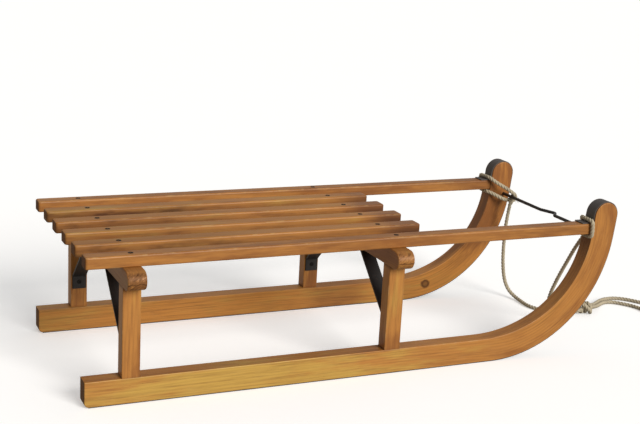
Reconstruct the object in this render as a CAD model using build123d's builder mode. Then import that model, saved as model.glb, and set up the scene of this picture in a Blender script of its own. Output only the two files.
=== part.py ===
from build123d import *
import os
from math import atan2, cos, degrees, radians, sin, sqrt, tan

# A slatted wooden sled. +X points forward to the horns, +Y to the rider's left, +Z up.
# The origin is on the floor under the middle of the sled. All sizes are in millimetres.

os.makedirs("parts", exist_ok=True)

# Runners: bent wood, one on each side
sled_length = 800.0  # rear ends of the runners to the front of the horns
track_width = 312.0  # over the outer faces of the runners
runner_thickness = 24.0
runner_depth = 34.5  # along the straight stretch
horn_swell = 4.5  # extra depth round the bend and up the horn
swell_ease = 1.25  # radius of the arc where the runner deepens, over the bend's inner radius
horn_rake = 84.0  # degrees between the horn and the floor
horn_rise = 32.0  # over the strip on the horn's tip, above the seat
horn_flat = 3.0  # straight rear face of the horn below the rails
heel_radius = 6.0  # rounded lower corner at the rear
runner_edge = 1.2  # eased edges

# Sole strips: flat steel under the runners, up the horns and over their tips
strip_thickness = 1.5
strip_margin = 2.0  # wood left bare on each side
strip_tail = 18.0  # flat end on the rail
strip_bend = 3.0

# Posts, tenoned into the runners and the cross-members
post_width = 24.0
post_thickness = 20.0  # flush with the runner's outer face
post_height = 122.0  # between the shoulders
post_edge = 1.0
tenon_length = 18.0
tenon_width = 16.0
tenon_thickness = 10.0
tenon_play = 0.1
tenon_end_gap = 0.5

# Cross-members, with half-round ends that stand out past the runners
member_width = 25.0
member_height = 26.0
member_overhang = 25.0
rear_member_inset = 60.0  # rear end of the sled to the middle of the rear cross-member
member_spacing = 375.0
member_edge = 1.5

# Seat: short slats, evenly spaced between two long rails
slat_thickness = 16.0
slat_width = 24.0
slat_count = 4  # between the rails
slat_overhang = 63.0  # past the middle of the front cross-member
slat_edge = 2.5  # round upper edges
slat_low_edge = 2.0
slat_corner = 4.0
rail_width = 22.0
rail_gap = 0.1  # between a rail's end and its horn

# Braces: flat steel bent to a wide hat, from post to post under a cross-member
brace_width = 20.0
brace_thickness = 2.5
brace_flat = 110.0  # along the cross-member
brace_foot = 29.0  # lower end above the runner's top
brace_tab = 20.0  # upright end on a post
brace_bend = 5.0

# Tie rod between the horns, kinked forward in the middle for a tow hook
rod_diameter = 5.0
rod_drop = 8.0  # below the underside of the rails
rod_set = 28.0  # ahead of the horns' rear faces
rod_seat = 10.0  # depth in each horn
rod_play = 0.1
kink_depth = 15.0
kink_drop = 2.0
kink_half_width = 20.0
kink_bend = 5.0

# Rope
rope_diameter = 6.5
rope_gap = 0.2  # between a tight turn and what it goes round
lash_set = 4.5  # middle of a lashing behind its horn's rear face
lash_knot_length = 18.0
lash_knot_diameter = 17.0
lash_knot_inset = 28.0  # middle of the knot in from the horn's inner face
lash_knot_round = 5.0
knot_length = 28.0
knot_diameter = 22.0
knot_round = 7.0
knot_place = (470.0, -8.0, 11.2)

# Places worked out from the sizes above
rear = -sled_length / 2
half_track = track_width / 2
inner_face = half_track - runner_thickness
runner_y = half_track - runner_thickness / 2
post_face = half_track - post_thickness
post_y = half_track - post_thickness / 2
rail_y = half_track - rail_width / 2
runner_top = strip_thickness + runner_depth
member_bottom = runner_top + post_height
member_top = member_bottom + member_height
seat_top = member_top + slat_thickness
rear_member_x = rear + rear_member_inset
front_member_x = rear_member_x + member_spacing
slat_length = front_member_x + slat_overhang - rear
slat_pitch = 2 * rail_y / (slat_count + 1)
rod_z = member_top - rod_drop
rope_radius = rope_diameter / 2

# The runner's side view: a straight stretch, one bend and a raked horn with a round tip.
# The bend's radius lets the horn end straight from just below the rails up to its tip.
rake = radians(horn_rake)
horn_depth = runner_depth + horn_swell
tip_radius = horn_depth / 2
tip_radius_over_strip = tip_radius + strip_thickness
tip_height = seat_top + horn_rise - tip_radius_over_strip
horn_straight = (tip_height + tip_radius * cos(rake) - member_top + horn_flat) / sin(rake)
bend_rise = tip_height - horn_straight * sin(rake)
bend_radius = (bend_rise - tip_radius_over_strip * cos(rake)) / (1 - cos(rake))
middle_radius = bend_radius - tip_radius_over_strip
bend_x = sled_length / 2 - tip_radius_over_strip - middle_radius * sin(rake) - horn_straight * cos(rake)
bend_centre = (bend_x, bend_radius)
wood_depth = strip_thickness
rear_face_depth = strip_thickness + horn_depth
rear_strip_depth = rear_face_depth + strip_thickness

# The runner deepens along a gentler arc, tangent to its straight top and to the bend's inner arc
inner_radius = bend_radius - rear_face_depth
top_radius = bend_radius - runner_top
swell_radius = swell_ease * inner_radius
swell_run = sqrt((top_radius - inner_radius) * (2 * swell_radius - top_radius - inner_radius))
swell_turn = degrees(atan2(swell_run, swell_radius - top_radius))
swell_start = bend_x - swell_run
swell_centre = (swell_start, runner_top + swell_radius)


def on_horn(depth, rise):
    """Point (x, z) of the horn, depth in from the sole's face and rise along it from the bend's end."""
    radius = bend_radius - depth
    x = bend_x + radius * sin(rake) + rise * cos(rake)
    z = bend_radius - radius * cos(rake) + rise * sin(rake)
    return (x, z)


def horn_x(depth, height):
    """X of the horn's straight stretch, depth in from the sole's face, at a height."""
    x, z = on_horn(depth, 0)
    return x + (height - z) / tan(rake)


def side_plane(y):
    """Plane of the sled's side view at a distance y to the left of the middle."""
    return Plane.XZ.offset(-y)


tip_centre = on_horn(tip_radius_over_strip, horn_straight)
rod_x = horn_x(rear_face_depth, rod_z) + rod_set

# Columns: name, side (+1 is left)
sides = [("right", -1), ("left", 1)]

# Columns: name, x of the cross-member's middle
member_rows = [("rear", rear_member_x), ("front", front_member_x)]

# Runners, mortised for the posts and bored for the tie rod
for side_name, side in sides:
    with BuildPart() as runner:
        with BuildSketch(side_plane(side * runner_y)):
            with BuildLine():
                Line((rear + heel_radius, wood_depth), (bend_x, wood_depth))
                CenterArc(bend_centre, bend_radius - wood_depth, -90, horn_rake)
                Line(on_horn(wood_depth, 0), on_horn(wood_depth, horn_straight))
                CenterArc(tip_centre, tip_radius, horn_rake - 90, 180)
                Line(on_horn(rear_face_depth, horn_straight), on_horn(rear_face_depth, 0))
                CenterArc(bend_centre, inner_radius, swell_turn - 90, horn_rake - swell_turn)
                CenterArc(swell_centre, swell_radius, -90, swell_turn)
                Polyline(
                    (swell_start, runner_top),
                    (rear, runner_top),
                    (rear, wood_depth + heel_radius),
                )
                CenterArc((rear + heel_radius, wood_depth + heel_radius), heel_radius, 180, 90)
            make_face()
        extrude(amount=runner_thickness / 2, both=True)
        fillet(runner.faces().filter_by(Axis.Y).edges(), runner_edge)
        with BuildSketch(Plane.XY.offset(runner_top)):
            with Locations(*[(x, side * post_y) for name, x in member_rows]):
                Rectangle(tenon_width + 2 * tenon_play, tenon_thickness + 2 * tenon_play)
        extrude(amount=-(tenon_length + tenon_end_gap), mode=Mode.SUBTRACT)
        with BuildSketch(side_plane(side * inner_face)):
            with Locations((rod_x, rod_z)):
                Circle(rod_diameter / 2 + rod_play)
        extrude(amount=-side * rod_seat, mode=Mode.SUBTRACT)
    runner.part.label = f"runner_{side_name}"
    export_step(runner.part, f"parts/runner_{side_name}.step")

# Sole strips, from the heel along the floor, over the horn and onto the rail
tail_top = seat_top + strip_thickness
tail_end = horn_x(rear_strip_depth, seat_top) - strip_tail
strip_start = rear + heel_radius
for side_name, side in sides:
    with BuildPart() as strip:
        with BuildSketch(side_plane(side * runner_y)):
            with BuildLine():
                Line((strip_start, 0), (bend_x, 0))
                CenterArc(bend_centre, bend_radius, -90, horn_rake)
                Line(on_horn(0, 0), on_horn(0, horn_straight))
                CenterArc(tip_centre, tip_radius_over_strip, horn_rake - 90, 180)
                FilletPolyline(
                    on_horn(rear_strip_depth, horn_straight),
                    (horn_x(rear_strip_depth, tail_top), tail_top),
                    (tail_end, tail_top),
                    radius=strip_bend,
                )
                Polyline(
                    (tail_end, tail_top),
                    (tail_end, seat_top),
                    (horn_x(rear_face_depth, seat_top), seat_top),
                    on_horn(rear_face_depth, horn_straight),
                )
                CenterArc(tip_centre, tip_radius, horn_rake - 90, 180)
                Line(on_horn(wood_depth, horn_straight), on_horn(wood_depth, 0))
                CenterArc(bend_centre, bend_radius - wood_depth, -90, horn_rake)
                Polyline((bend_x, wood_depth), (strip_start, wood_depth), (strip_start, 0))
            make_face()
        extrude(amount=runner_thickness / 2 - strip_margin, both=True)
    strip.part.label = f"sole_strip_{side_name}"
    export_step(strip.part, f"parts/sole_strip_{side_name}.step")

# Posts with a tenon at each end
for member_name, x in member_rows:
    for side_name, side in sides:
        with BuildPart() as post:
            with BuildSketch(Plane.XY.offset(runner_top)):
                with Locations((x, side * post_y)):
                    Rectangle(post_width, post_thickness)
            extrude(amount=post_height)
            fillet(post.edges().filter_by(Axis.Z), post_edge)
            for shoulder, way in ((runner_top, -1), (member_bottom, 1)):
                with BuildSketch(Plane.XY.offset(shoulder)):
                    with Locations((x, side * post_y)):
                        Rectangle(tenon_width, tenon_thickness)
                extrude(amount=way * tenon_length)
        post.part.label = f"post_{member_name}_{side_name}"
        export_step(post.part, f"parts/post_{member_name}_{side_name}.step")

# Cross-members with half-round ends, mortised for the posts
for member_name, x in member_rows:
    with BuildPart() as member:
        with BuildSketch(Plane.YZ.offset(x)):
            with Locations((0, member_bottom + member_height / 2)):
                SlotOverall(track_width + 2 * member_overhang, member_height)
        extrude(amount=member_width / 2, both=True)
        fillet(member.faces().filter_by(Axis.X).edges(), member_edge)
        with BuildSketch(Plane.XY.offset(member_bottom)):
            with Locations(*[(x, side * post_y) for name, side in sides]):
                Rectangle(tenon_width + 2 * tenon_play, tenon_thickness + 2 * tenon_play)
        extrude(amount=tenon_length + tenon_end_gap, mode=Mode.SUBTRACT)
    member.part.label = f"cross_member_{member_name}"
    export_step(member.part, f"parts/cross_member_{member_name}.step")

# Braces, bent from flat steel on the posts' inner faces and the cross-member's underside
tab_low = runner_top + brace_foot
tab_high = tab_low + brace_tab
for member_name, x in member_rows:
    with BuildPart() as brace:
        with BuildSketch(Plane.YZ.offset(x)):
            with BuildLine():
                FilletPolyline(
                    (-post_face, tab_low),
                    (-post_face, tab_high),
                    (-brace_flat / 2, member_bottom),
                    (brace_flat / 2, member_bottom),
                    (post_face, tab_high),
                    (post_face, tab_low),
                    radius=brace_bend,
                )
                offset(amount=brace_thickness, side=Side.RIGHT)
            make_face()
        extrude(amount=brace_width / 2, both=True)
    brace.part.label = f"brace_{member_name}"
    export_step(brace.part, f"parts/brace_{member_name}.step")

# Short slats
for number in range(slat_count):
    y = rail_y - (number + 1) * slat_pitch
    with BuildPart() as slat:
        with BuildSketch(Plane.XY.offset(member_top)):
            with Locations((rear + slat_length / 2, y)):
                RectangleRounded(slat_length, slat_width, slat_corner)
        extrude(amount=slat_thickness)
        fillet(slat.faces().sort_by(Axis.Z)[-1].edges(), slat_edge)
        fillet(slat.faces().sort_by(Axis.Z)[0].edges(), slat_low_edge)
    slat.part.label = f"slat_{number + 1}"
    export_step(slat.part, f"parts/slat_{number + 1}.step")

# Long rails, cut at the front to the horn's rake
rail_low_end = horn_x(rear_face_depth, member_top) - rail_gap
rail_high_end = horn_x(rear_face_depth, seat_top) - rail_gap
for side_name, side in sides:
    with BuildPart() as rail:
        with BuildSketch(side_plane(side * rail_y)):
            with BuildLine():
                Polyline(
                    (rear, member_top),
                    (rail_low_end, member_top),
                    (rail_high_end, seat_top),
                    (rear, seat_top),
                    close=True,
                )
            make_face()
        extrude(amount=rail_width / 2, both=True)
        fillet(rail.edges().filter_by(Axis.Z), slat_corner)
        fillet(rail.faces().sort_by(Axis.Z)[-1].edges(), slat_edge)
        fillet(rail.faces().sort_by(Axis.Z)[0].edges(), slat_low_edge)
    rail.part.label = f"rail_{side_name}"
    export_step(rail.part, f"parts/rail_{side_name}.step")

# Tie rod, seated in both horns
rod_end = inner_face + rod_seat - rod_play
with BuildPart() as tie_rod:
    with BuildLine() as rod_line:
        FilletPolyline(
            (rod_x, -rod_end, rod_z),
            (rod_x, -kink_half_width, rod_z),
            (rod_x + kink_depth, 0, rod_z - kink_drop),
            (rod_x, kink_half_width, rod_z),
            (rod_x, rod_end, rod_z),
            radius=kink_bend,
        )
    with BuildSketch(Plane(rod_line.line @ 0, z_dir=rod_line.line % 0)):
        Circle(rod_diameter / 2)
    sweep()
tie_rod.part.label = "tie_rod"
export_step(tie_rod.part, "parts/tie_rod.step")

# Rope strands from the lashings to the floor knot, and the hand loop beyond it: points (x, y, z)
left_route = [
    (382, 105, 171),
    (379, 108, 138),
    (379, 110, 100),
    (380.5, 110, 62),
    (384.5, 108, 33),
    (390, 102, 15),
    (396, 89, 5.5),
    (397, 70, 3.3),
    (394, 48, 3.3),
    (399, 27, 3.3),
    (416, 11, 3.3),
    (439, 2, 4.5),
    (464, -4, 10),
]
right_route = [
    (382, -106, 171),
    (379, -91, 148),
    (378, -70, 117),
    (378, -50, 84),
    (378.5, -36, 50),
    (382, -27, 24),
    (391, -20, 9),
    (407, -15.5, 4),
    (428, -12.5, 3.3),
    (446, -11.5, 5),
    (464, -12, 10),
]
loop_route = [
    (481, -3, 12),
    (500, 9, 7),
    (516, 22, 4),
    (532, 34, 3.3),
    (551, 41, 3.3),
    (571, 39, 3.3),
    (586, 27, 3.3),
    (598, 9, 3.3),
    (609, -8, 3.3),
    (617, -26, 3.3),
    (619, -45, 3.3),
    (612, -62, 3.3),
    (596, -71, 3.3),
    (579, -67, 3.3),
    (569, -52, 3.3),
    (568, -33, 3.3),
    (573, -14, 3.3),
    (563, 5, 3.3),
    (551, 19, 3.3),
    (535, 22, 3.3),
    (518, 12.5, 4),
    (502, -0.5, 7),
    (481, -13, 12),
]


def corner_radii(route):
    """Radius of each corner of a route, as large as the two runs beside it allow."""
    radii = []
    for before, corner, after in zip(route, route[1:], route[2:]):
        run_in = Vector(corner) - Vector(before)
        run_out = Vector(after) - Vector(corner)
        half_turn = radians(run_in.get_angle(run_out)) / 2
        radii.append(0.45 * min(run_in.length, run_out.length) / tan(half_turn))
    return radii


# Columns: name, route
rope_rows = [
    ("rope_strand_left", left_route),
    ("rope_strand_right", right_route),
    ("rope_hand_loop", loop_route),
]
ropes = {}
for rope_name, route in rope_rows:
    radii = corner_radii(route)
    with BuildPart() as rope:
        with BuildLine() as rope_line:
            FilletPolyline(*route, radius=radii)
        with BuildSketch(Plane(rope_line.line @ 0, z_dir=rope_line.line % 0)) as rope_section:
            Circle(rope_radius)
        sweep()
    print(rope_name, "radii", [round(radius, 1) for radius in radii])
    rope_length = rope_line.wire().length
    volume_ratio = rope.part.volume / (rope_section.sketch.area * rope_length)
    print(rope_name, "length", round(rope_length, 1), "volume ratio", round(volume_ratio, 4))
    rope.part.label = rope_name
    export_step(rope.part, f"parts/{rope_name}.step")
    ropes[rope_name] = rope.part

# Floor knot, which the strands run into
with BuildPart() as knot:
    with BuildSketch(Plane.YZ.offset(knot_place[0] - knot_length / 2)):
        with Locations((knot_place[1], knot_place[2])):
            Circle(knot_diameter / 2)
    extrude(amount=knot_length)
    fillet(knot.edges().filter_by(GeomType.CIRCLE), knot_round)
    add(list(ropes.values()), mode=Mode.SUBTRACT)
knot.part.label = "rope_knot"
export_step(knot.part, "parts/rope_knot.step")

# Lashings: a tight turn round each rail's end, tied off in a knot on the tie rod
lash_x = horn_x(rear_face_depth, member_top) - lash_set
lash_off = rope_radius + rope_gap
lash_low = member_top - lash_off
lash_high = tail_top + lash_off
lash_inner = half_track - rail_width - lash_off
lash_outer = half_track + lash_off
lash_bend = slat_edge + rope_radius
lash_knot_y = inner_face - lash_knot_inset
knot_wrap = rod_diameter / 2 + rope_radius + rope_gap
for side_name, side in sides:
    with BuildPart() as lashing:
        with BuildSketch(side_plane(side * lash_knot_y)):
            with Locations((rod_x, rod_z)):
                Circle(lash_knot_diameter / 2)
        extrude(amount=lash_knot_length / 2, both=True)
        fillet(lashing.edges().filter_by(GeomType.CIRCLE), lash_knot_round)
        with BuildLine() as lash_line:
            FilletPolyline(
                (rod_x, side * (lash_knot_y - rope_radius), rod_z + knot_wrap),
                (lash_x, side * lash_inner, lash_high),
                (lash_x, side * lash_outer, lash_high),
                (lash_x, side * lash_outer, lash_low),
                (lash_x, side * lash_inner, lash_low),
                (rod_x, side * (lash_knot_y + rope_radius), rod_z - knot_wrap),
                radius=lash_bend,
            )
        with BuildSketch(Plane(lash_line.line @ 0, z_dir=lash_line.line % 0)):
            Circle(rope_radius)
        sweep()
        with BuildSketch(side_plane(side * lash_knot_y)):
            with Locations((rod_x, rod_z)):
                Circle(rod_diameter / 2 + rope_gap)
        extrude(amount=lash_knot_length, both=True, mode=Mode.SUBTRACT)
        add(ropes[f"rope_strand_{side_name}"], mode=Mode.SUBTRACT)
    lashing.part.label = f"rope_lashing_{side_name}"
    export_step(lashing.part, f"parts/rope_lashing_{side_name}.step")
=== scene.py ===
"""Looks of the wooden sled: varnished wood, dark steel, screws, twisted rope and a plain studio."""

import math
import random

import bmesh
import bpy
from bpy.props import FloatProperty, FloatVectorProperty, IntProperty, PointerProperty
from bpy.types import Operator, Panel, PropertyGroup
from mathutils import Matrix, Vector
from mathutils.kdtree import KDTree


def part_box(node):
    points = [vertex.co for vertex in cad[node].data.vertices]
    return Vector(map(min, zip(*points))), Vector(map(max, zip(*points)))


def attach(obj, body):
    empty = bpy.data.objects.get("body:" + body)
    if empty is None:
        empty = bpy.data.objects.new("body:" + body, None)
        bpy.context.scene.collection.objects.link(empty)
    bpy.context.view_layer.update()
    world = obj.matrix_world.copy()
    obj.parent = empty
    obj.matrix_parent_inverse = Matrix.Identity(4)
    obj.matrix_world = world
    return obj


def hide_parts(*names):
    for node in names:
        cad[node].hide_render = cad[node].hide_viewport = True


bl_info = {
    "name": "Wooden sled",
    "version": (1, 0, 0),
    "blender": (4, 5, 0),
    "location": "3D View > Sidebar > Sled",
    "description": "Dresses the packed sled in wood, steel and rope and sets it in a plain studio",
    "category": "Object",
}

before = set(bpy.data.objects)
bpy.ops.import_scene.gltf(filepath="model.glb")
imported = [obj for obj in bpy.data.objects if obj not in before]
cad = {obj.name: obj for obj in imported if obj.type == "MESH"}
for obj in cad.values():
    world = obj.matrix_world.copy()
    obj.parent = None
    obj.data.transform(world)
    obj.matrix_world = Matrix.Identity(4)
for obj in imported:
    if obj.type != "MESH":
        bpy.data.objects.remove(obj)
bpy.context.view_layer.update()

SIDES = {"right": -1, "left": 1}
MEMBERS = ("rear", "front")

# Small sizes and places on the sled, in metres
SOLE_SCREWS = (-0.28, -0.03, 0.19)
WOOD_KNOT_X, WOOD_KNOT_Z = 0.245, 0.026
# Middle of the painted shadow patch on the left runner, along the sled
FAR_SHADE_X = 0.085
# Distance out from the middle where the painted shade beside the rails begins
RAIL_SHADE_Y = 0.152
TENON = 0.018
BRACE_STEEL = 0.0025
BRACE_ABOVE_RUNNER = 0.029
TAB_SCREW_RISE = 0.0105
FLAT_HEAD = 0.0005
ROUND_HEAD = 0.0014
FLAT_HEAD_SINK = 0.0002
ROD_RADIUS = 0.0025
ROD_WRAP = 0.0064
KNOT_WRAP = 0.0074
FLOOR_RADIUS = 30.0

# Degrees between the control points of a rope's wrap
WRAP_STEP = 45

# Shares: the crack's height on a cross-member, a recess in its screw head and a slot in its recess
CRACK_HEIGHT = 0.40
RECESS_REACH = 0.3
RECESS_SLOT = 0.26

# Shades that colours are multiplied by
DIRT_AND_SHADE_TINT = (0.16, 0.11, 0.09, 1)
SCREW_DIRT_SHADE = (0.2, 0.18, 0.17, 1)
WARM_SKY_SHADE = (0.98, 0.88, 0.76, 1)
DIM_SKY_SHADE = (0.5, 0.5, 0.5, 1)

# Sunlight: the way it travels, its spread and its colour
SUN_WAY = Vector((-0.25, 0.85, -0.45))
SUN_SPREAD = math.radians(32)
SUN_COLOUR = (1.0, 0.96, 0.91)

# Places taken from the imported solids, in metres
runner_low, runner_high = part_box("runner_left")
post_low, post_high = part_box("post_front_left")
brace_low, brace_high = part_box("brace_front")
rail_low, rail_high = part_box("rail_left")
slat_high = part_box("slat_1")[1]
strip_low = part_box("sole_strip_left")[0]
member_x = {name: sum(c.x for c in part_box(f"cross_member_{name}")) / 2 for name in MEMBERS}
seat_top = slat_high.z
cross_low, cross_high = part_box("cross_member_front")
crack_z = cross_low.z + (cross_high.z - cross_low.z) * CRACK_HEIGHT
seat_pitch = (rail_low.y + rail_high.y) / 5
inner_face = runner_low.y
runner_y = (runner_low.y + runner_high.y) / 2
runner_top = brace_low.z - BRACE_ABOVE_RUNNER
lash_low, lash_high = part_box("rope_lashing_left")
rod_low, rod_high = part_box("tie_rod")
rod_x, rod_z = rod_low.x + ROD_RADIUS, rod_high.z - ROD_RADIUS

# Rope routes in metres, the control points of each rope's smooth line
LEFT_STRAND = (
    (0.382, 0.105, 0.171),
    (0.379, 0.108, 0.138),
    (0.379, 0.110, 0.100),
    (0.3805, 0.110, 0.062),
    (0.3845, 0.108, 0.033),
    (0.390, 0.102, 0.015),
    (0.396, 0.089, 0.0055),
    (0.397, 0.070, 0.0033),
    (0.394, 0.048, 0.0033),
    (0.399, 0.027, 0.0033),
    (0.416, 0.011, 0.0033),
    (0.439, 0.002, 0.0045),
    (0.464, -0.004, 0.010),
)
RIGHT_STRAND = (
    (0.382, -0.106, 0.171),
    (0.379, -0.091, 0.148),
    (0.378, -0.0735, 0.117),
    (0.378, -0.0535, 0.084),
    (0.3785, -0.036, 0.050),
    (0.382, -0.027, 0.024),
    (0.391, -0.020, 0.009),
    (0.407, -0.0155, 0.004),
    (0.428, -0.0125, 0.0033),
    (0.446, -0.0115, 0.005),
    (0.464, -0.012, 0.010),
)
HAND_LOOP = (
    (0.481, -0.003, 0.012),
    (0.500, 0.009, 0.007),
    (0.516, 0.022, 0.004),
    (0.532, 0.034, 0.0033),
    (0.551, 0.041, 0.0033),
    (0.571, 0.039, 0.0033),
    (0.586, 0.027, 0.0033),
    (0.598, 0.009, 0.0033),
    (0.609, -0.008, 0.0033),
    (0.617, -0.026, 0.0033),
    (0.619, -0.045, 0.0033),
    (0.612, -0.062, 0.0033),
    (0.596, -0.071, 0.0033),
    (0.583, -0.065, 0.0033),
    (0.577, -0.050, 0.0033),
    (0.578, -0.032, 0.0033),
    (0.576, -0.010, 0.0033),
    (0.564, 0.009, 0.0033),
    (0.550, 0.0235, 0.0033),
    (0.533, 0.0245, 0.0033),
    (0.5165, 0.0135, 0.004),
    (0.5005, 0.0005, 0.007),
    (0.481, -0.013, 0.012),
)


# Settings that a user would change


class SledWood(PropertyGroup):
    """Varnished wood of the runners, posts, cross-members and seat"""

    light: FloatVectorProperty(
        name="Golden wood", description="Palest, yellowest wood", subtype="COLOR",
        size=4, min=0, max=1, default=(0.60, 0.36, 0.074, 1),
    )
    warm: FloatVectorProperty(
        name="Warm wood", description="Wood stained orange by the varnish", subtype="COLOR",
        size=4, min=0, max=1, default=(0.52, 0.220, 0.047, 1),
    )
    # Hue of the left runner's wood; its paleness is painted light on the runner's shaded inner face
    lit_amber: FloatVectorProperty(
        name="Amber wood", description="Paler orange wood of the left runner", subtype="COLOR",
        size=4, min=0, max=1, default=(0.66, 0.275, 0.052, 1),
    )
    red: FloatVectorProperty(
        name="Red wood", description="Darker, redder wood of the horns", subtype="COLOR",
        size=4, min=0, max=1, default=(0.31, 0.112, 0.024, 1),
    )
    dark: FloatVectorProperty(
        name="Dark grain", description="Late wood, flecks and streaks", subtype="COLOR",
        size=4, min=0, max=1, default=(0.19, 0.070, 0.015, 1),
    )
    end: FloatVectorProperty(
        name="End grain", description="Cut ends, where the varnish soaked in", subtype="COLOR",
        size=4, min=0, max=1, default=(0.105, 0.038, 0.013, 1),
    )
    bare: FloatVectorProperty(
        name="Bare wood", description="Edges where the varnish has worn off", subtype="COLOR",
        size=4, min=0, max=1, default=(0.62, 0.42, 0.20, 1),
    )
    ring_pitch: FloatProperty(
        name="Ring pitch", description="Distance between growth rings", unit="LENGTH", default=0.0034,
    )
    varnish: FloatProperty(
        name="Varnish", description="Strength of the clear coat", subtype="FACTOR",
        min=0, max=1, default=0.20,
    )
    bend_radius: FloatProperty(
        name="Bend radius", description="Bend of the sole that the fibres follow", unit="LENGTH",
        default=0.1974,
    )
    bend_start: FloatProperty(
        name="Bend start", description="Where the runners start to bend", unit="LENGTH", default=0.2002,
    )


class SledSteel(PropertyGroup):
    """Dark steel of the sole strips, braces and tie rod"""

    paint: FloatVectorProperty(
        name="Paint", description="Dark paint", subtype="COLOR",
        size=4, min=0, max=1, default=(0.015, 0.0125, 0.0115, 1),
    )
    strip: FloatVectorProperty(
        name="Strip paint", description="Thin, greyer paint of the sole strips", subtype="COLOR",
        size=4, min=0, max=1, default=(0.076, 0.065, 0.061, 1),
    )
    worn: FloatVectorProperty(
        name="Worn steel", description="Steel where the paint has rubbed off", subtype="COLOR",
        size=4, min=0, max=1, default=(0.16, 0.15, 0.14, 1),
    )
    rust: FloatVectorProperty(
        name="Rust", description="Thin rust in scratches", subtype="COLOR",
        size=4, min=0, max=1, default=(0.085, 0.042, 0.02, 1),
    )


class SledRope(PropertyGroup):
    """Twisted rope"""

    diameter: FloatProperty(name="Diameter", description="Over the strands", unit="LENGTH", default=0.0065)
    lay: FloatProperty(name="Lay", description="Length of one full twist", unit="LENGTH", default=0.017)
    strands: IntProperty(name="Strands", description="Strands twisted together", min=2, max=4, default=3)
    fullness: FloatProperty(
        name="Fullness", description="A strand's radius as a share of the rope's", subtype="FACTOR",
        min=0.3, max=0.8, default=0.55,
    )
    loose_fibres: IntProperty(
        name="Loose fibres", description="Fibres frayed out of the rope", min=1, default=9,
    )
    loose_radius: FloatProperty(
        name="Fibre radius", description="Of a loose fibre", unit="LENGTH", default=0.0002,
    )
    fibre: FloatVectorProperty(
        name="Fibre", description="Clean fibre", subtype="COLOR",
        size=4, min=0, max=1, default=(0.56, 0.485, 0.345, 1),
    )
    soiled: FloatVectorProperty(
        name="Soiled fibre", description="Fibre greyed by use", subtype="COLOR",
        size=4, min=0, max=1, default=(0.27, 0.232, 0.175, 1),
    )


class SledScrews(PropertyGroup):
    """Countersunk screws in the seat and the soles and round-headed screws in the braces"""

    seat_head: FloatProperty(name="Seat head", description="Diameter", unit="LENGTH", default=0.0072)
    brace_head: FloatProperty(name="Brace head", description="Diameter", unit="LENGTH", default=0.0066)
    sole_head: FloatProperty(name="Sole head", description="Diameter", unit="LENGTH", default=0.0064)
    metal: FloatVectorProperty(
        name="Screw metal", description="Blackened screw", subtype="COLOR",
        size=4, min=0, max=1, default=(0.016, 0.014, 0.012, 1),
    )
    worn: FloatVectorProperty(
        name="Worn screw", description="Screw where the black has rubbed off", subtype="COLOR",
        size=4, min=0, max=1, default=(0.09, 0.075, 0.06, 1),
    )


class SledStudio(PropertyGroup):
    """Floor, light and camera"""

    floor: FloatVectorProperty(
        name="Floor", description="Pale floor", subtype="COLOR",
        size=4, min=0, max=1, default=(0.93, 0.93, 0.93, 1),
    )
    glow: FloatProperty(name="Glow", description="Lifts the floor towards white", default=0.36)
    sun: FloatProperty(name="Sun", description="Strength of the main light", default=3.0)
    sky: FloatProperty(name="Sky", description="Strength of the light all round", default=0.48)
    above: FloatVectorProperty(
        name="Above", description="Light from above", subtype="COLOR",
        size=4, min=0, max=1, default=(0.90, 0.95, 1.0, 1),
    )
    ground: FloatVectorProperty(
        name="Ground", description="Light from below", subtype="COLOR",
        size=4, min=0, max=1, default=(1.0, 0.97, 0.92, 1),
    )
    lens: FloatProperty(
        name="Lens", description="Focal length on a 36 mm sensor", unit="CAMERA", default=68.67,
    )
    place: FloatVectorProperty(
        name="Camera", description="Camera's place", subtype="TRANSLATION", unit="LENGTH",
        default=(-0.73558, -1.57845, 0.63844),
    )
    heading: FloatProperty(
        name="Heading", description="Turn from straight across", subtype="ANGLE",
        default=math.radians(24.501),
    )
    dip: FloatProperty(
        name="Dip", description="Look down from level", subtype="ANGLE", default=math.radians(14.233),
    )
    roll: FloatProperty(
        name="Roll", description="Lean of the camera", subtype="ANGLE", default=math.radians(3.132),
    )


# Shader maths


class Signal:
    """A socket of a finish; arithmetic on it adds Math nodes."""

    def __init__(self, finish, socket):
        self.finish = finish
        self.socket = socket

    def __add__(self, other):
        return self.finish.math("ADD", self, other)

    def __sub__(self, other):
        return self.finish.math("SUBTRACT", self, other)

    def __mul__(self, other):
        return self.finish.math("MULTIPLY", self, other)

    def __truediv__(self, other):
        return self.finish.math("DIVIDE", self, other)

    def __pow__(self, other):
        return self.finish.math("POWER", self, other)

    def __rsub__(self, other):
        return self.finish.math("SUBTRACT", other, self)

    def __rtruediv__(self, other):
        return self.finish.math("DIVIDE", other, self)

    def __abs__(self):
        return self.finish.math("ABSOLUTE", self)

    __radd__ = __add__
    __rmul__ = __mul__

    def ramp(self, low, high):
        """Goes smoothly from 0 to 1 as the signal goes from low to high."""
        sockets = {"Value": self, "From Min": low, "From Max": high}
        return self.finish.node("ShaderNodeMapRange", {"interpolation_type": "SMOOTHSTEP"}, sockets)


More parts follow.
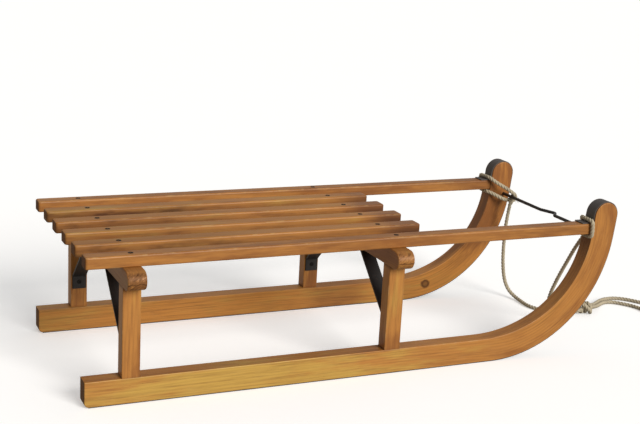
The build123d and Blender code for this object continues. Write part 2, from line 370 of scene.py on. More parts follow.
class Finish:
    """A material or a world, with its nodes added by one method."""

    def __init__(self, name, world=False):
        kind = bpy.data.worlds if world else bpy.data.materials
        self.material = kind.new(name)
        self.material.use_nodes = True
        self.tree = self.material.node_tree
        self.shader = self.tree.nodes["Background" if world else "Principled BSDF"]

    def node(self, kind, settings=None, sockets=None, output=0):
        """Adds a node with its settings, then its sockets' values or links, and returns one output."""
        made = self.tree.nodes.new(kind)
        for name, value in (settings or {}).items():
            setattr(made, name, value)
        for key, value in (sockets or {}).items():
            self.put(made.inputs[key], value)
        return Signal(self, made.outputs[output])

    def put(self, socket, value):
        """Links a signal to a socket, or sets the socket's own value."""
        if isinstance(value, Signal):
            self.tree.links.new(value.socket, socket)
        else:
            socket.default_value = value

    def surface(self, **sockets):
        """Sets or links sockets of the shader, named with underscores for spaces."""
        for key, value in sockets.items():
            self.put(self.shader.inputs[key.replace("_", " ")], value)

    def math(self, operation, *values):
        return self.node("ShaderNodeMath", {"operation": operation}, dict(enumerate(values)))

    def blend(self, factor, first, second):
        """Colour that goes from first to second."""
        return self.node("ShaderNodeMix", {"data_type": "RGBA"}, {0: factor, 6: first, 7: second}, 2)

    def darken(self, factor, colour, shade):
        """Colour multiplied by a shade, as far as factor says."""
        settings = {"data_type": "RGBA", "blend_type": "MULTIPLY"}
        return self.node("ShaderNodeMix", settings, {0: factor, 6: colour, 7: shade}, 2)

    def vector(self, x, y, z):
        return self.node("ShaderNodeCombineXYZ", None, {0: x, 1: y, 2: z})

    def split(self, vector):
        return [self.node("ShaderNodeSeparateXYZ", None, {0: vector}, axis) for axis in range(3)]

    def place(self):
        """Object coordinates as three numbers."""
        return self.split(self.node("ShaderNodeTexCoord", output="Object"))

    def normal(self):
        """Direction that the face points, as three numbers."""
        return self.split(self.node("ShaderNodeNewGeometry", output="True Normal"))

    def noise(self, x, y, z, detail=2.0, roughness=0.5):
        """Noise from 0 to 1 over three numbers."""
        sockets = {"Vector": self.vector(x, y, z), "Scale": 1.0, "Detail": detail, "Roughness": roughness}
        return self.node("ShaderNodeTexNoise", {"noise_dimensions": "3D"}, sockets, 0)

    def relief(self, height, strength, distance):
        """Bumps the shader's normal."""
        sockets = {"Strength": strength, "Distance": distance, "Height": height}
        self.surface(Normal=self.node("ShaderNodeBump", None, sockets))


def screw_spots(finish, x, y, inner, outer):
    """1 at each seat screw and 0 away from it, in plan."""
    across = (0.5 - finish.math("PINGPONG", y / seat_pitch + 0.5, 0.5)) * seat_pitch
    near = finish.math("MINIMUM", abs(x - member_x["rear"]), abs(x - member_x["front"]))
    away = finish.math("SQRT", near * near + across * across)
    return 1 - away.ramp(inner, outer)


def edge_of(finish, part):
    """1 on rounded edges and 0 on flat faces, from one part of the face's direction."""
    return abs(part) * finish.math("SQRT", 1.001 - part * part) * 2


def grow_wood(finish, look, along, across, through, tone, ends, dirt_and_shade, edge, warm=None):
    """Varnished wood with its fibres along one number.

    tone goes from 0, golden, over 0.5, orange, to 1, red; ends is 1 on cut ends, dirt_and_shade 1 where dirt
    and painted shade darken it and edge 1 on rounded edges, where the varnish wears through; warm stands in
    for the look's orange.
    """
    drift = finish.noise(along * 1.7, across * 11, through * 11, 3.0)
    pith = finish.math("SQRT", (across + 0.021) ** 2 + (through - 0.31) ** 2)
    ring = pith / look.ring_pitch + drift * 9.0
    late = (finish.math("SINE", ring * math.tau) * 0.5 + 0.5) ** 4
    vein = finish.noise(along * 3.1, across * 210, through * 210, 3.0, 0.55).ramp(0.52, 0.80)
    dash = finish.noise(along * 17, across * 400, through * 400, 3.0, 0.6).ramp(0.46, 0.74)
    streak = finish.noise(along * 8, across * 620, through * 620, 3.0, 0.6).ramp(0.45, 0.80)
    fibre = finish.noise(along * 36, across * 1700, through * 1700, 2.0, 0.7)
    fleck = finish.noise(along * 230, across * 1000, through * 1000, 1.0).ramp(0.66, 0.73)
    patch = finish.noise(along * 4.3 + 3.7, across * 17, through * 17, 3.0, 0.6) - 0.5
    blotch = finish.noise(along * 13 + 8.1, across * 75, through * 75, 4.0, 0.65) - 0.5
    tone = tone + patch * 0.9 + blotch * 1.1
    colour = finish.blend(tone.ramp(0.0, 0.5), look.light, warm or look.warm)
    colour = finish.blend(tone.ramp(0.5, 1.0), colour, look.red)
    grain = late * 0.16 + vein * 0.28 + dash * 0.36 + streak * 0.26 + fleck * 0.20 + (fibre - 0.5) * 0.24
    colour = finish.blend(finish.math("MAXIMUM", grain, 0.0), colour, look.dark)
    chips = finish.noise(along * 60, across * 150, through * 150, 4.0, 0.65).ramp(0.50, 0.66)
    bare = edge * chips * (1 - ends)
    colour = finish.blend(bare * 0.45, colour, look.bare)
    end_rings = finish.noise(along * 60, across * 260, through * 260, 2.0)
    colour = finish.blend(ends * (0.72 + end_rings * 0.25), colour, look.end)
    # Darkens for dirt and for painted shade
    colour = finish.darken(dirt_and_shade, colour, DIRT_AND_SHADE_TINT)
    rubbed = finish.noise(along * 11, across * 30, through * 30, 3.0)
    roughness = 0.40 + rubbed * 0.16 + dash * 0.06 + ends * 0.25 + dirt_and_shade * 0.25 + bare * 0.2
    finish.surface(
        Base_Color=colour, Roughness=roughness, Coat_Weight=(1 - ends) * (1 - bare) * look.varnish,
        Coat_Roughness=0.30, Specular_IOR_Level=0.32,
    )
    height = fibre * 0.5 - vein * 0.5 - dash * 0.5 - streak * 0.4 - late * 0.2 - fleck * 0.6 - bare * 0.6
    finish.relief(height, 0.22, 0.0006)
    return finish.material


def runner_wood(look):
    """Wood with fibres that follow the bend, a knot in the left runner, painted shade and some dirt on both,
    and a left runner paled by painted light.
    """
    finish = Finish("bent_wood")
    x, y, z = finish.place()
    nx, ny, nz = finish.normal()
    ahead = finish.math("MAXIMUM", x - look.bend_start, 0.0)
    drop = look.bend_radius - z
    reach = finish.math("SQRT", ahead * ahead + drop * drop)
    middle = look.bend_radius - 0.02
    along = finish.math("MINIMUM", x, look.bend_start) + finish.math("ARCTAN2", ahead, drop) * middle
    depth = look.bend_radius - reach
    ends = abs(nx).ramp(0.85, 0.95) * (1 - (x - runner_low.x).ramp(0.005, 0.009))
    # Painted contact shade and dirt on the runner's top and upper sides at the foot of each post
    feet_shade_and_dirt = 0.0
    for name in MEMBERS:
        beside = abs(x - member_x[name]).ramp(0.0115, 0.0145)
        feet_shade_and_dirt = feet_shade_and_dirt + (1 - beside) * (z - runner_top + 0.006).ramp(0.0, 0.006) * 0.12
    knot_x, knot_z = x - WOOD_KNOT_X, z - WOOD_KNOT_Z
    from_knot = finish.math("SQRT", knot_x ** 2 + (knot_z * 1.15) ** 2) * 0.78
    wander = finish.noise(x * 210, y * 210, z * 210, 2.0)
    inner = 1 - abs(y - inner_face).ramp(0.001, 0.003)
    rim = from_knot + wander * 0.003
    knot = (1 - rim.ramp(0.0062, 0.0095)) * inner
    far = y.ramp(-0.01, 0.01)
    # Painted shade on the left runner: a shadow patch, a darker band from the middle to the bend and a
    # little all over; the heel is darker from painted shade and dirt.
    ahead_shade = along.ramp(-0.03, 0.05) * (1 - along.ramp(0.20, 0.25)) * 0.17
    heel = (1 - x.ramp(-0.29, -0.26)) * 0.11
    far_shade = ((1 - abs(x - FAR_SHADE_X).ramp(0.02, 0.07)) * 0.30 + ahead_shade + heel + 0.05) * far
    # Painted shade and dirt in the hollow of the right runner's horn, under the rail
    inside = (1 - abs(ny).ramp(0.5, 0.8)) * depth.ramp(0.02, 0.03)
    hollow_shade_and_dirt = (1 - far) * inside * along.ramp(0.39, 0.46) * 0.62
    dark_knot = knot * (0.62 + rim.ramp(0.003, 0.007) * 0.28)
    # Painted shade on the rear part of the right runner's top: darker and redder
    top_shade = nz.ramp(0.8, 0.95) * (1 - far) * (1 - x.ramp(0.0, 0.1))
    dirt_and_shade = finish.math("MINIMUM", feet_shade_and_dirt + far_shade + hollow_shade_and_dirt + dark_knot + top_shade * 0.20, 0.9)
    swirl = depth + knot * 0.004
    near_tone = 0.26 - along.ramp(-0.42, -0.18) * 0.24 + along.ramp(-0.20, 0.24) * 0.62
    # The left runner's lower tone and paler orange are partly painted light on its shaded inner face
    far_tone = 0.42 + along.ramp(0.22, 0.42) * 0.44
    tone = near_tone + (far_tone - near_tone) * far + top_shade * 0.35
    warm = finish.blend(far, look.warm, look.lit_amber)
    edge = edge_of(finish, ny)
    return grow_wood(finish, look, along, y + 0.3, swirl, tone, ends, dirt_and_shade, edge, warm)


def upright_wood(look):
    """Post wood, with fibres straight up and painted shade and dirt at the shoulders."""
    finish = Finish("post_wood")
    x, y, z = finish.place()
    nx = finish.normal()[0]
    # Painted shade and dirt at the shoulders: at the foot, most on the front and back faces, and at the top
    # under the cross-member
    low = 1 - (z - post_low.z - TENON).ramp(0.0, 0.004)
    high = (z - post_high.z + TENON).ramp(-0.005, 0.0)
    dirt_and_shade = low * (0.12 + abs(nx).ramp(0.5, 0.8) * 0.5) + high * 0.5
    front_foot = x.ramp(-0.1, 0.0) * (1 - z.ramp(0.045, 0.075))
    tone = 0.70 - z.ramp(0.045, 0.11) * 0.32 + front_foot * 0.22
    return grow_wood(finish, look, z, x * 1.1 + 0.07, y, tone, 0.0, dirt_and_shade, edge_of(finish, nx))


def cross_wood(look):
    """Cross-member wood, with scratched and cracked end grain on the rounded ends."""
    finish = Finish("cross_wood")
    x, y, z = finish.place()
    nx, ny, nz = finish.normal()
    cut = abs(ny).ramp(0.35, 0.8)
    scratch = finish.noise(x * 110 + z * 160, y * 60, z * 420 - x * 300, 2.0)
    front = x.ramp(-0.1, 0.0)
    ends = cut * (0.76 - front * 0.42) * (1 - scratch.ramp(0.56, 0.68) * 0.85)
    # Painted shade on the top beside the rail
    beside_rail_shade = (abs(y) - RAIL_SHADE_Y).ramp(-0.001, 0.003) * nz.ramp(0.4, 0.8) * 0.35
    wobble = finish.noise(x * 90, y * 90, z * 90, 2.0) - 0.5
    crack = 1 - abs(z - crack_z + wobble * 0.006).ramp(0.0003, 0.0011)
    worn_end = cut * ((1 - scratch.ramp(0.30, 0.44)) * 0.5 + crack * 0.6)
    # Painted shade on the back faces: darker on the rear member, a redder tone on the front member
    back = (0 - nx).ramp(0.6, 0.9)
    dirt_and_shade = finish.math("MINIMUM", beside_rail_shade + worn_end + back * (1 - front) * 0.38, 0.9)
    tone = 0.55 + back * front * 0.25
    return grow_wood(finish, look, y, x * 1.3, z + 0.05, tone, ends, dirt_and_shade, edge_of(finish, nx))


def seat_wood(look):
    """Slat and rail wood, with dark ends, slats darkened by painted shade and dirt, and a dark ring round
    each screw of dirt and painted shade.
    """
    finish = Finish("seat_wood")
    x, y, z = finish.place()
    nx, ny, nz = finish.normal()
    ends = abs(nx).ramp(0.55, 0.85)
    # A dark ring round each screw on top: dirt, and painted shade of a countersink that the solid lacks
    ring = screw_spots(finish, x, y, 0.0034, 0.0056) * nz.ramp(0.7, 0.9) * 0.95
    rail = (abs(y) - rail_low.y + 0.002).ramp(0.0, 0.001)
    behind = 1 - x.ramp(-0.27, -0.08)
    nearest = 1 - y.ramp(-0.09, -0.05)
    # Painted shade on the slat tops: a little everywhere, more at the rear, most at the rear of the nearest
    # slat
    top = nz.ramp(0.80, 0.95) * (1 - rail) * (0.06 + behind * (0.14 + nearest * 0.12))
    # Painted shade and dirt on the slat sides: painted shade between the slats, most towards their bottoms,
    # smears of dirt, and darker at the rear and the front ends
    smear = finish.noise(x * 15, y * 33, z * 60, 3.0, 0.6).ramp(0.46, 0.70)
    below = (seat_top - z).ramp(0.002, 0.008)
    ahead = x.ramp(slat_high.x - 0.08, slat_high.x - 0.015) * (1 - rail)
    darkening = 0.06 + smear * (0.14 + behind * 0.16) + (below + ahead) * 0.30
    darkening = darkening + behind * (0.16 + y.ramp(-0.02, 0.05) * 0.2)
    worn_rail = rail * (0.06 + x.ramp(0.16, 0.36) * 0.16)
    side = abs(ny).ramp(0.4, 0.8) * (1 - rail) * darkening + worn_rail
    tone = 0.46 + rail * 0.30 + ahead * 0.45
    dirt_and_shade = finish.math("MINIMUM", ring + top + side, 0.95)
    return grow_wood(finish, look, x, y * 1.2, z + 0.11, tone, ends, dirt_and_shade, edge_of(finish, nz))


def strip_steel(look):
    """Strip steel, scratched along the sole and dirty round its screws."""
    finish = Finish("strip_steel")
    x, y, z = finish.place()
    sole = (0 - finish.normal()[2]).ramp(0.6, 0.9)
    cloud = finish.noise(x * 38, y * 38, z * 38, 4.0, 0.6)
    scratch = finish.noise(x * 14, y * 1600, z * 60, 2.0, 0.7).ramp(0.56, 0.72) * sole
    spots = finish.noise(x * 210, y * 210, z * 210, 3.0, 0.65).ramp(0.62, 0.72)
    side = abs(y) - runner_y
    edge = abs(side).ramp(0.0085, 0.0101)
    dirt = 0.0
    for spot in SOLE_SCREWS:
        away = finish.math("SQRT", (x - spot) ** 2 + side ** 2)
        dirt = dirt + (1 - away.ramp(0.0032, 0.0046)) * sole
    worn = finish.math("MINIMUM", scratch * 0.45 + edge * cloud.ramp(0.4, 0.7) * 0.5, 1.0)
    colour = finish.blend(worn, look.strip, look.worn)
    colour = finish.blend(spots * 0.55 + (cloud - 0.4) * 0.25, colour, look.rust)
    colour = finish.darken(dirt, colour, SCREW_DIRT_SHADE)
    finish.surface(
        Base_Color=colour, Metallic=worn * 0.55, Roughness=0.40 + cloud * 0.18 - scratch * 0.06,
        Specular_IOR_Level=0.5,
    )
    finish.relief(cloud * 0.4 - scratch * 0.5 + spots * 0.4 - dirt * 0.8, 0.25, 0.0005)
    return finish.material


def plain_steel(look, name, grain):
    """Painted steel of the braces and the rod, brushed along one direction."""
    finish = Finish(name)
    x, y, z = finish.place()
    cloud = finish.noise(x * 55, y * 55, z * 55, 4.0, 0.6)
    brush = finish.noise(x * grain[0], y * grain[1], z * grain[2], 2.0, 0.6)
    spots = finish.noise(x * 260, y * 260, z * 260, 2.0, 0.6).ramp(0.64, 0.72)
    colour = finish.blend(brush.ramp(0.55, 0.85) * 0.35, look.paint, look.worn)
    colour = finish.blend(spots * 0.45 + (cloud - 0.45) * 0.2, colour, look.rust)
    finish.surface(Base_Color=colour, Roughness=0.38 + cloud * 0.2, Metallic=brush.ramp(0.6, 0.9) * 0.4)
    finish.relief(cloud * 0.5 + brush * 0.3, 0.2, 0.0004)
    return finish.material


def screw_metal(look):
    """Blackened screws with dull wear."""
    finish = Finish("screw_metal")
    x, y, z = finish.place()
    wear = finish.noise(x * 900, y * 900, z * 900, 3.0)
    colour = finish.blend(wear.ramp(0.5, 0.8) * 0.5, look.metal, look.worn)
    finish.surface(Base_Color=colour, Metallic=0.3, Roughness=0.55 + wear * 0.2, Specular_IOR_Level=0.25)
    finish.relief(wear, 0.15, 0.0002)
    return finish.material


def rope_fibre(look):
    """Fibre twisted along each strand, greyed by use; reads where each point lies on its strand."""
    finish = Finish("rope_fibre")
    lay = finish.split(finish.node("ShaderNodeAttribute", {"attribute_name": "fibre"}, output="Vector"))
    x, y, z = finish.place()
    turn = lay[0] * 520
    twist_y = lay[1] * finish.math("COSINE", turn) - lay[2] * finish.math("SINE", turn)
    twist_z = lay[1] * finish.math("SINE", turn) + lay[2] * finish.math("COSINE", turn)
    thread = finish.noise(lay[0] * 120, twist_y * 3200, twist_z * 3200, 2.0, 0.6)
    darkening = finish.noise(x * 46, y * 46, z * 46, 3.0, 0.6)
    out = finish.math("SQRT", lay[1] * lay[1] + lay[2] * lay[2])
    dirt = darkening.ramp(0.36, 0.72) * 0.45 + thread.ramp(0.45, 0.75) * 0.4
    colour = finish.blend(dirt, look.fibre, look.soiled)
    finish.surface(Base_Color=colour, Roughness=0.86 + darkening * 0.1, Specular_IOR_Level=0.2)
    finish.relief(thread + out * 80, 0.5, 0.0005)
    return finish.material


def floor_finish(look):
    """Pale matt floor with the faintest unevenness."""
    finish = Finish("pale_floor")
    x, y, z = finish.place()
    speck = finish.noise(x * 3, y * 3, z * 3, 3.0)
    paler = [min(1.0, channel + 0.01) for channel in look.floor[:3]] + [1.0]
    finish.surface(
        Base_Color=finish.blend(speck, look.floor, paler), Roughness=0.9, Specular_IOR_Level=0.1,
        Emission_Color=(1, 1, 1, 1), Emission_Strength=look.glow,
    )
    return finish.material


# Modelling helpers


def dress(names, material):
    """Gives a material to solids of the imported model."""
    for name in names:
        mesh = cad[name].data
        mesh.materials.clear()
        mesh.materials.append(material)


def add_piece(name, mesh, material):
    """Adds a mesh as a piece that rides on the sled."""
    piece = bpy.data.objects.new(name, mesh)
    bpy.context.scene.collection.objects.link(piece)
    mesh.materials.clear()
    mesh.materials.append(material)
    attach(piece, "root")
    return piece


def smooth_line(points, resolution):
    """Points of the smooth line that a route's control points give."""
    data = bpy.data.curves.new("route", "CURVE")
    data.dimensions = "3D"
    data.resolution_u = resolution
    spline = data.splines.new("NURBS")
    spline.points.add(len(points) - 1)
    for control, point in zip(spline.points, points):
        control.co = (*point, 1)
    spline.order_u = 3
    spline.use_endpoint_u = True
    holder = bpy.data.objects.new("route", data)
    mesh = bpy.data.meshes.new_from_object(holder)
    line = [vertex.co.copy() for vertex in mesh.vertices]
    bpy.data.meshes.remove(mesh)
    bpy.data.objects.remove(holder)
    bpy.data.curves.remove(data)
    return line


def line_frames(line):
    """For each point of a line: its place, direction, two cross directions and distance along."""
    frames = []
    distance = 0.0
    cross = None
    for index, point in enumerate(line):
        before = line[max(index - 1, 0)]
        after = line[min(index + 1, len(line) - 1)]
        direction = (after - before).normalized()
        if cross is None:
            cross = direction.orthogonal().normalized()
        else:
            cross.rotate(frames[-1][1].rotation_difference(direction))
            cross = (cross - direction * cross.dot(direction)).normalized()
            distance += (point - before).length
        frames.append((point, direction, cross.copy(), direction.cross(cross), distance))
    return frames


def strand_lines(line, look, phase=0.0):
    """Lines of the strands that twist round a rope's line, and a strand's radius."""
    strand = look.diameter / 2 * look.fullness
    twist = look.diameter / 2 - strand
    frames = line_frames(line)
    lines = []
    for number in range(look.strands):
        start = phase + math.tau * number / look.strands
        path = []
        for point, _, side, up, distance in frames:
            angle = start + math.tau * distance / look.lay
            path.append(point + twist * (math.cos(angle) * side + math.sin(angle) * up))
        lines.append(path)
    return lines, strand


def rope_mesh(name, strands, radius):
    """Mesh of round strands, each point knowing its place along and across its strand."""
    data = bpy.data.curves.new(name, "CURVE")
    data.dimensions = "3D"
    data.bevel_depth = radius
    data.bevel_resolution = 2
    data.use_fill_caps = True
    for path in strands:
        spline = data.splines.new("POLY")
        spline.points.add(len(path) - 1)
        for control, point in zip(spline.points, path):
            control.co = (*point, 1)
    holder = bpy.data.objects.new(name, data)
    mesh = bpy.data.meshes.new_from_object(holder)
    bpy.data.objects.remove(holder)
    bpy.data.curves.remove(data)
    frames = [station for path in strands for station in line_frames(path)]
    tree = KDTree(len(frames))
    for index, station in enumerate(frames):
        tree.insert(station[0], index)
    tree.balance()
    lay = mesh.attributes.new("fibre", "FLOAT_VECTOR", "POINT")
    for vertex in mesh.vertices:
        point, direction, side, up, distance = frames[tree.find(vertex.co)[1]]
        offset = vertex.co - point
        lay.data[vertex.index].vector = (distance + offset.dot(direction), offset.dot(side), offset.dot(up))
    mesh.polygons.foreach_set("use_smooth", [True] * len(mesh.polygons))
    mesh.name = name
    return mesh


def screw_head(diameter, height):
    """Bmesh of one domed screw head with a cross recess, its seat at the origin and its top up Z."""
    radius, recess = diameter / 2, diameter * RECESS_REACH
    bm = bmesh.new()
    bmesh.ops.create_circle(bm, cap_ends=True, segments=24, radius=radius)
    up = bmesh.ops.extrude_face_region(bm, geom=bm.faces[:])
    raised = [item for item in up["geom"] if isinstance(item, bmesh.types.BMVert)]
    bmesh.ops.translate(bm, verts=raised, vec=(0, 0, height))
    rim = [edge for edge in bm.edges if all(v.co.z > height * 0.5 for v in edge.verts)]
    bmesh.ops.bevel(
        bm, geom=rim, offset=height * 0.6, offset_type="OFFSET", segments=3, profile=0.5,
        affect="EDGES", material=-1,
    )
    slot = recess * RECESS_SLOT
    for axis in (Vector((1, 0, 0)), Vector((0, 1, 0))):
        for reach in (-recess, -slot, slot, recess):
            geom = [face for face in bm.faces if face.normal.z > 0.9]
            edges = {edge for face in geom for edge in face.edges}
            corners = {vert for face in geom for vert in face.verts}
            bmesh.ops.bisect_plane(
                bm, geom=geom + list(edges) + list(corners), dist=1e-7, plane_co=axis * reach, plane_no=axis,
            )
    cross = []
    for face in bm.faces:
        middle = face.calc_center_median()
        short, long = sorted((abs(middle.x), abs(middle.y)))
        if face.normal.z > 0.9 and short < slot and long < recess:
            cross.append(face)
    sunk = bmesh.ops.extrude_face_region(bm, geom=cross)
    bmesh.ops.delete(bm, geom=cross, context="FACES")
    floor = [item for item in sunk["geom"] if isinstance(item, bmesh.types.BMVert)]
    bmesh.ops.translate(bm, verts=floor, vec=(0, 0, -height * 0.8))
    bmesh.ops.scale(bm, verts=floor, vec=(0.8, 0.8, 1))
    bmesh.ops.recalc_face_normals(bm, faces=bm.faces[:])
    return bm


def place_screws(name, head, places):
    """Mesh of a screw head repeated at each place."""
    shape = bpy.data.meshes.new("screw_head")
    head.to_mesh(shape)
    head.free()
    bm = bmesh.new()
    for place in places:
        known = set(bm.verts)
        bm.from_mesh(shape)
        bmesh.ops.transform(bm, matrix=place, verts=[vert for vert in bm.verts if vert not in known])
    mesh = bpy.data.meshes.new(name)
    bm.to_mesh(mesh)
    bm.free()
    bpy.data.meshes.remove(shape)
    return mesh


def facing(place, direction, turn):
    """Matrix that sets a screw head at a place, facing a direction and turned about it."""
    turned = direction.to_track_quat("Z", "Y").to_matrix().to_4x4()
    return Matrix.Translation(place) @ turned @ Matrix.Rotation(turn, 4, "Z")


def seat_places():
    """Places of the seat's screws: one in each slat and rail over each cross-member."""
    places = []
    for member in MEMBERS:
        for row in [number + 0.5 for number in range(-3, 3)]:
            place = Vector((member_x[member], row * seat_pitch, seat_top - FLAT_HEAD_SINK))
            places.append(facing(place, Vector((0, 0, 1)), row * 1.7))
    return places


def brace_places():
    """Places of the braces' screws: one under each middle and one in each tab."""
    places = []
    for x in member_x.values():
        under = Vector((x, 0.0, brace_high.z - BRACE_STEEL))
        places.append(facing(under, Vector((0, 0, -1)), 0.4))
        for way in SIDES.values():
            tab = Vector((x, way * (post_low.y - BRACE_STEEL), brace_low.z + TAB_SCREW_RISE))
            places.append(facing(tab, Vector((0, -way, 0)), 0.9 * way))
    return places


def sole_places():
    """Places of the screws under both soles."""
    places = []
    for x in SOLE_SCREWS:
        for way in SIDES.values():
            place = Vector((x, way * runner_y, strip_low.z + FLAT_HEAD_SINK))
            places.append(facing(place, Vector((0, 0, -1)), x * 9 + way))
    return places


# Operators


class SLED_OT_runners(Operator):
    """Gives the runners wood whose fibres follow the bend"""

    bl_idname = "sled.runners"
    bl_label = "Runners"

    def execute(self, context):
        dress(("runner_right", "runner_left"), runner_wood(context.scene.sled_wood))
        return {"FINISHED"}


class SLED_OT_posts(Operator):
    """Gives the posts upright wood"""

    bl_idname = "sled.posts"
    bl_label = "Posts"

    def execute(self, context):
        names = [f"post_{member}_{side}" for member in MEMBERS for side in SIDES]
        dress(names, upright_wood(context.scene.sled_wood))
        return {"FINISHED"}


class SLED_OT_cross_members(Operator):
    """Gives the cross-members wood with end grain"""

    bl_idname = "sled.cross_members"
    bl_label = "Cross-members"

    def execute(self, context):
        dress([f"cross_member_{member}" for member in MEMBERS], cross_wood(context.scene.sled_wood))
        return {"FINISHED"}


class SLED_OT_seat(Operator):
    """Gives the slats and rails wood with a dirty ring round each screw"""

    bl_idname = "sled.seat"
    bl_label = "Seat"

    def execute(self, context):
        names = ["rail_right", "rail_left", "slat_1", "slat_2", "slat_3", "slat_4"]
        dress(names, seat_wood(context.scene.sled_wood))
        return {"FINISHED"}


class SLED_OT_steel(Operator):
    """Gives the sole strips, braces and tie rod dark steel"""

    bl_idname = "sled.steel"
    bl_label = "Steelwork"

    def execute(self, context):
        look = context.scene.sled_steel
        dress(("sole_strip_right", "sole_strip_left"), strip_steel(look))
        dress(("brace_rear", "brace_front"), plain_steel(look, "brace_steel", (900, 20, 60)))
        dress(("tie_rod",), plain_steel(look, "rod_steel", (700, 20, 700)))
        return {"FINISHED"}


class SLED_OT_screws(Operator):
    """Adds the countersunk screws of the seat and the soles and the braces' round-headed screws"""

    bl_idname = "sled.screws"
    bl_label = "Screws"

    def execute(self, context):
        look = context.scene.sled_screws
        metal = screw_metal(look)
        for name, head, places in (
            ("seat_screws", screw_head(look.seat_head, FLAT_HEAD), seat_places()),
            ("brace_screws", screw_head(look.brace_head, ROUND_HEAD), brace_places()),
            ("sole_screws", screw_head(look.sole_head, FLAT_HEAD), sole_places()),
        ):
            add_piece(name, place_screws(name, head, places), metal)
        return {"FINISHED"}


def rod_turn(side, first, last, y_first, y_last):
    """Control points of a turn round the tie rod, by angles in degrees from straight ahead, up."""
    steps = round((last - first) / WRAP_STEP)
    points = []
    for step in range(steps + 1):
        angle = math.radians(first + WRAP_STEP * step)
        y = y_first + (y_last - y_first) * step / steps
        points.append((rod_x + ROD_WRAP * math.cos(angle), side * y, rod_z + ROD_WRAP * math.sin(angle)))
    return points


def lashing_route(side, look):
    """Control points of a lashing: up behind the rod, over the rail, round it and back behind the rod."""
    off = look.diameter / 2
    x = lash_low.x + off
    top, low = lash_high.z - off, rail_low.z - off - 0.0002
    outer, inner = lash_high.y - off, rail_low.y - off - 0.0002
    knot_y = lash_low.y + 0.009
    route = [(rod_x - 0.0017, side * (knot_y + 0.0010), rod_z - 0.0110)]
    route += rod_turn(side, -90, 45, knot_y + 0.0008, knot_y - 0.0006)
    for place in (
        (rod_x - 0.0060, knot_y + 0.0060, rod_z + 0.0125),
        (x + 0.0080, inner - 0.0080, top - 0.0060),
        (x + 0.0020, inner - 0.0005, top - 0.0002),
        (x, inner + 0.0060, top + 0.0004),
        (x, outer - 0.0070, top),
        (x + 0.0002, outer - 0.0018, top - 0.0002),
        (x + 0.0005, outer + 0.0002, top - 0.0030),
        (x + 0.0010, outer + 0.0004, (top + low) / 2),
        (x + 0.0010, outer + 0.0002, low + 0.0030),
        (x + 0.0006, outer - 0.0018, low + 0.0002),
        (x, outer - 0.0080, low),
        (x, inner + 0.0060, low),
        (x + 0.0020, inner + 0.0005, low),
        (x + 0.0110, inner - 0.0090, low - 0.0045),
        (rod_x - 0.0080, knot_y + 0.0095, rod_z - 0.0066),
    ):
        route.append((place[0], side * place[1], place[2]))
    route += rod_turn(side, -90, 45, knot_y + 0.0085, knot_y + 0.0070)
    return route


def knot_route():
    """Control points of the floor knot: wraps round the strands, then a crossing back over them."""
    low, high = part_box("rope_knot")
    middle = (low + high) / 2

    def spot(along, angle, reach):
        turn = math.radians(angle)
        return middle + Vector((along, reach * math.cos(turn), reach * math.sin(turn)))

    steps, start, width = 16, 210, 0.0170
    route = []
    for step in range(steps + 1):
        route.append(spot(width * (step / steps - 0.5), start + WRAP_STEP * step, KNOT_WRAP))
    for along, angle, reach in (
        (0.0095, 250, 0.0085),
        (0.0085, 225, 0.0104),
        (0.0040, 195, 0.0108),
        (-0.0015, 165, 0.0108),
        (-0.0065, 135, 0.0104),
        (-0.0100, 100, 0.0088),
        (-0.0105, 60, 0.0060),
    ):
        route.append(spot(along, angle, reach))
    return route


def frayed_fibres(look):
    """Lines of the loose fibres that stand out of the left lashing beside the rod."""
    chance = random.Random(4)
    root = Vector((rod_x + 0.004, lash_low.y + 0.008, rod_z - 0.002))
    lines = []
    for _ in range(look.loose_fibres):
        point = root + Vector([chance.uniform(-0.003, 0.003) for _ in range(3)])
        step = Vector((chance.uniform(0.3, 1.0), chance.uniform(-1.0, 0.3), chance.uniform(-0.9, 0.5)))
        step = step.normalized() * chance.uniform(0.0020, 0.0036)
        route = [point]
        for _ in range(3):
            route.append(route[-1] + step)
            step = step + Vector((0.0, 0.0, -0.0006))
        lines.append(smooth_line(route, 6))
    return lines


class SLED_OT_rope(Operator):
    """Replaces the plain ropes with twisted strands that follow their smooth lines"""

    bl_idname = "sled.rope"
    bl_label = "Rope"

    def execute(self, context):
        look = context.scene.sled_rope
        fibre = rope_fibre(look)
        rows = (
            ("twisted_strand_left", LEFT_STRAND, "rope_strand_left", "hanging"),
            ("twisted_strand_right", RIGHT_STRAND, "rope_strand_right", "hanging"),
            ("twisted_hand_loop", HAND_LOOP, "rope_hand_loop", "loose"),
        )
        for name, route, node, lay in rows:
            line = smooth_line(route, 14)
            strands, radius = strand_lines(line, look)
            piece = add_piece(name, rope_mesh(name, strands, radius), fibre)
            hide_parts(node)
        ties = [("twisted_floor_knot", knot_route(), "rope_knot")]
        for side, way in SIDES.items():
            ties.append((f"twisted_lashing_{side}", lashing_route(way, look), f"rope_lashing_{side}"))
        for name, route, node in ties:
            strands, radius = strand_lines(smooth_line(route, 10), look)
            piece = add_piece(name, rope_mesh(name, strands, radius), fibre)
            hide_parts(node)
        fray = rope_mesh("frayed_fibres", frayed_fibres(look), look.loose_radius)
        add_piece("frayed_fibres", fray, fibre)
        return {"FINISHED"}


def lay_floor(scene, look):
    """Adds the floor, which neither shows in reflections nor lights the sled from below."""
    bm = bmesh.new()
    bmesh.ops.create_circle(bm, cap_ends=True, segments=64, radius=FLOOR_RADIUS)
    mesh = bpy.data.meshes.new("pale_floor")
    bm.to_mesh(mesh)
    bm.free()
    floor = bpy.data.objects.new("pale_floor", mesh)
    scene.collection.objects.link(floor)
    mesh.materials.append(floor_finish(look))
    floor.visible_diffuse = False
    floor.visible_glossy = False


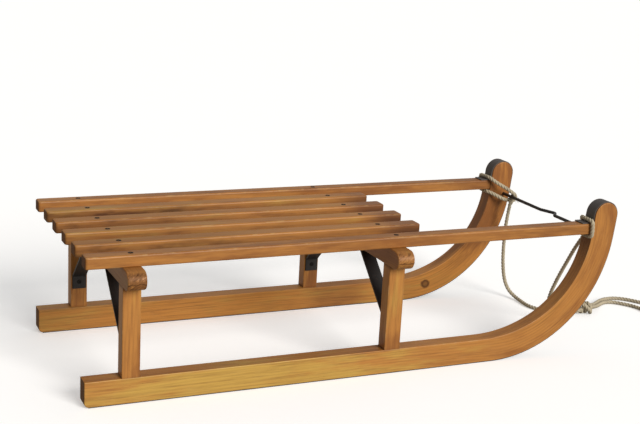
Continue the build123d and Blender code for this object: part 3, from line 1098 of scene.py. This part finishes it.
def light_studio(scene, look):
    """Adds a wide sun, and a sky that is dimmer behind the camera and warmer on its left."""
    sun = bpy.data.lights.new("sun", "SUN")
    sun.energy = look.sun
    sun.angle = SUN_SPREAD
    sun.color = SUN_COLOUR
    lamp = bpy.data.objects.new("sun", sun)
    lamp.rotation_mode = "QUATERNION"
    lamp.rotation_quaternion = SUN_WAY.to_track_quat("-Z", "Y")
    scene.collection.objects.link(lamp)
    sky = Finish("studio", world=True)
    x, y, z = sky.split(sky.node("ShaderNodeTexCoord", output="Generated"))
    colour = sky.blend(z.ramp(-0.25, 0.25), look.ground, look.above)
    toward = x * 0.8 - y * 0.6
    colour = sky.darken(1 - toward.ramp(-0.9, 0.7), colour, WARM_SKY_SHADE)
    colour = sky.darken(1 - y.ramp(-0.3, 0.8), colour, DIM_SKY_SHADE)
    sky.surface(Color=colour, Strength=look.sky)
    scene.world = sky.material


def aim_camera(scene, look):
    """Adds the camera, turned by its heading, dip and roll."""
    lens = bpy.data.cameras.new("camera")
    lens.lens = look.lens
    lens.sensor_width = 36.0
    lens.sensor_fit = "HORIZONTAL"
    camera = bpy.data.objects.new("camera", lens)
    ahead = Vector((
        math.sin(look.heading) * math.cos(look.dip),
        math.cos(look.heading) * math.cos(look.dip),
        -math.sin(look.dip),
    ))
    level = Vector((math.cos(look.heading), -math.sin(look.heading), 0.0))
    above = level.cross(ahead)
    right = level * math.cos(look.roll) + above * math.sin(look.roll)
    up = above * math.cos(look.roll) - level * math.sin(look.roll)
    turn = Matrix((right, up, -ahead)).transposed().to_4x4()
    camera.matrix_world = Matrix.Translation(look.place) @ turn
    scene.collection.objects.link(camera)
    scene.camera = camera


class SLED_OT_studio(Operator):
    """Adds the floor, the light and the camera"""

    bl_idname = "sled.studio"
    bl_label = "Studio"

    def execute(self, context):
        scene = context.scene
        look = scene.sled_studio
        lay_floor(scene, look)
        light_studio(scene, look)
        aim_camera(scene, look)
        scene.view_settings.view_transform = "Standard"
        return {"FINISHED"}


class SLED_PT_panel(Panel):
    """Lists the sled's settings and the operators that dress it"""

    bl_idname = "SLED_PT_panel"
    bl_label = "Wooden sled"
    bl_space_type = "VIEW_3D"
    bl_region_type = "UI"
    bl_category = "Sled"

    def draw(self, context):
        for name in GROUPS:
            box = self.layout.box()
            settings = getattr(context.scene, name)
            for key in settings.__annotations__:
                box.prop(settings, key)
        for operator in OPERATORS:
            self.layout.operator(operator.bl_idname)


GROUPS = {
    "sled_wood": SledWood,
    "sled_steel": SledSteel,
    "sled_rope": SledRope,
    "sled_screws": SledScrews,
    "sled_studio": SledStudio,
}
OPERATORS = (
    SLED_OT_runners,
    SLED_OT_posts,
    SLED_OT_cross_members,
    SLED_OT_seat,
    SLED_OT_steel,
    SLED_OT_screws,
    SLED_OT_rope,
    SLED_OT_studio,
)


def register():
    for name, group in GROUPS.items():
        bpy.utils.register_class(group)
        setattr(bpy.types.Scene, name, PointerProperty(type=group))
    for cls in (*OPERATORS, SLED_PT_panel):
        bpy.utils.register_class(cls)


def unregister():
    for cls in (SLED_PT_panel, *reversed(OPERATORS)):
        bpy.utils.unregister_class(cls)
    for name, group in reversed(GROUPS.items()):
        delattr(bpy.types.Scene, name)
        bpy.utils.unregister_class(group)


def main():
    register()
    for operator in OPERATORS:
        group, name = operator.bl_idname.split(".")
        getattr(getattr(bpy.ops, group), name)()


if __name__ == "__main__":
    main()
